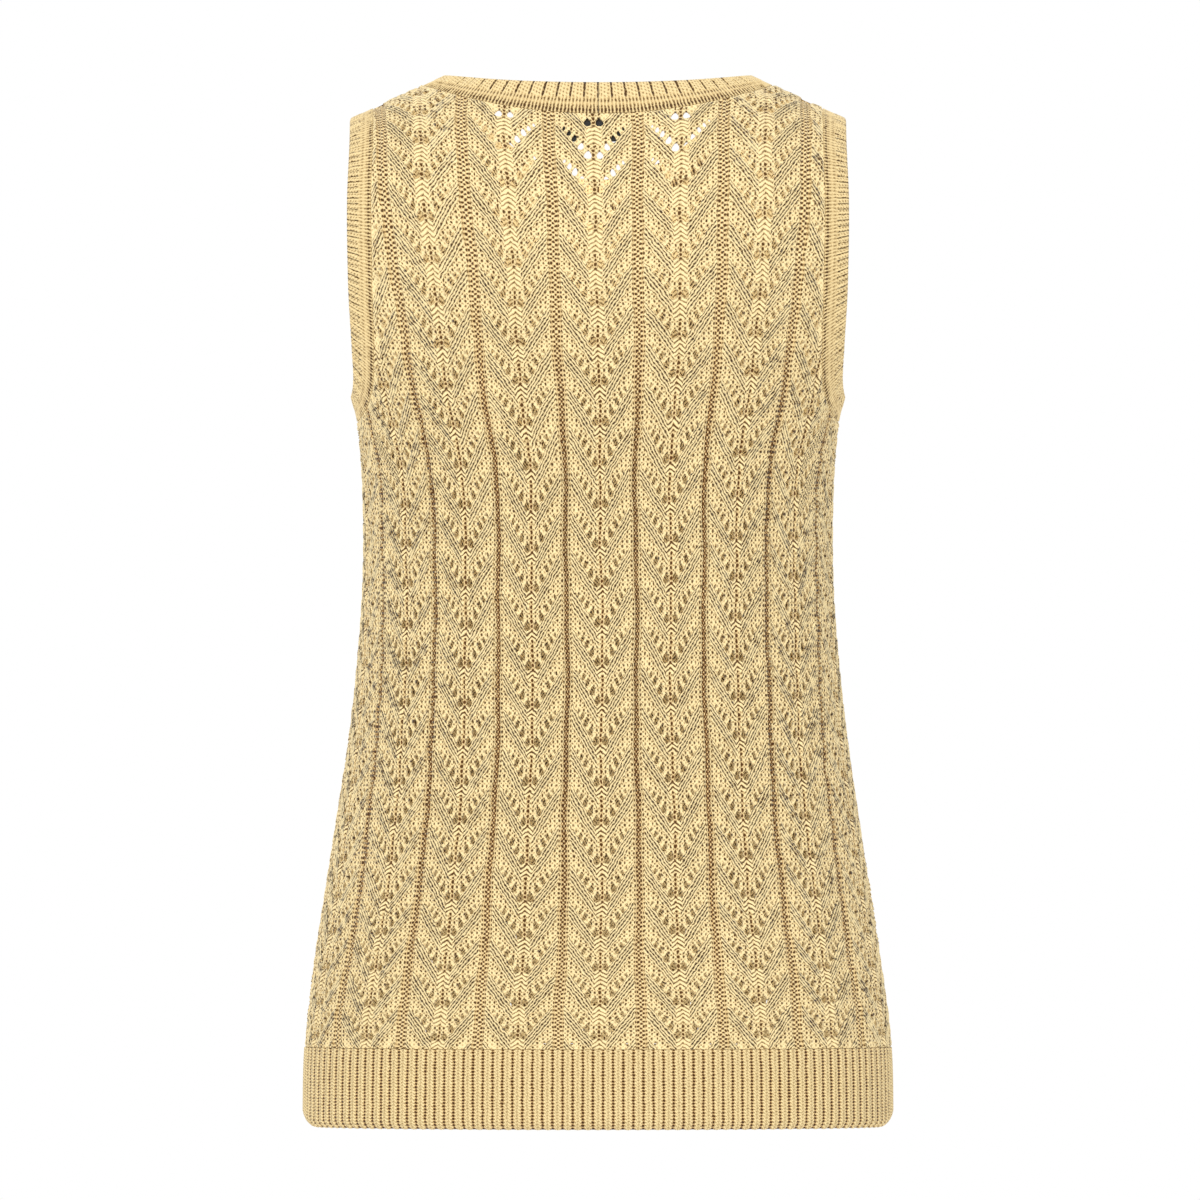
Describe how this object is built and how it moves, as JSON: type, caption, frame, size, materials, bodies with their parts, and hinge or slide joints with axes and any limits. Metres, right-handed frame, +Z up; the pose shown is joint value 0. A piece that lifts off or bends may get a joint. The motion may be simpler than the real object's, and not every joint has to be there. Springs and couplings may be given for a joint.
{
  "type": "sleeveless pointelle knit pullover, filled out as worn",
  "caption": "Sleeveless lace-knit pullover with ribbed hem, round neckband and armhole bands, hollow and filled out as if worn, open at neck, armholes and hem.",
  "frame": {"origin": "midway between the shoulders, at the height where the wearer's shoulders carry the cloth", "axes": "+Z up along the body, +Y out of the garment's back, +X to the wearer's left"},
  "size_m": [0.3552, 0.2276, 0.6309],
  "materials": {
    "yarn_lace": "matt cotton yarn, leaf lace knit with open eyelets",
    "yarn_rib": "matt cotton yarn, 2 by 1 rib knit",
    "yarn_band": "matt cotton yarn, linked rib band",
    "label_tape": "plain black woven tape, blank"
  },
  "bodies": {
    "root": {"back_panel": "yarn_lace", "front_panel": "yarn_lace", "hem_rib_back": "yarn_rib", "hem_rib_front": "yarn_rib", "neckband": "yarn_band", "armband_left": "yarn_band", "armband_right": "yarn_band", "neck_label": "label_tape"}
  },
  "joints": []
}
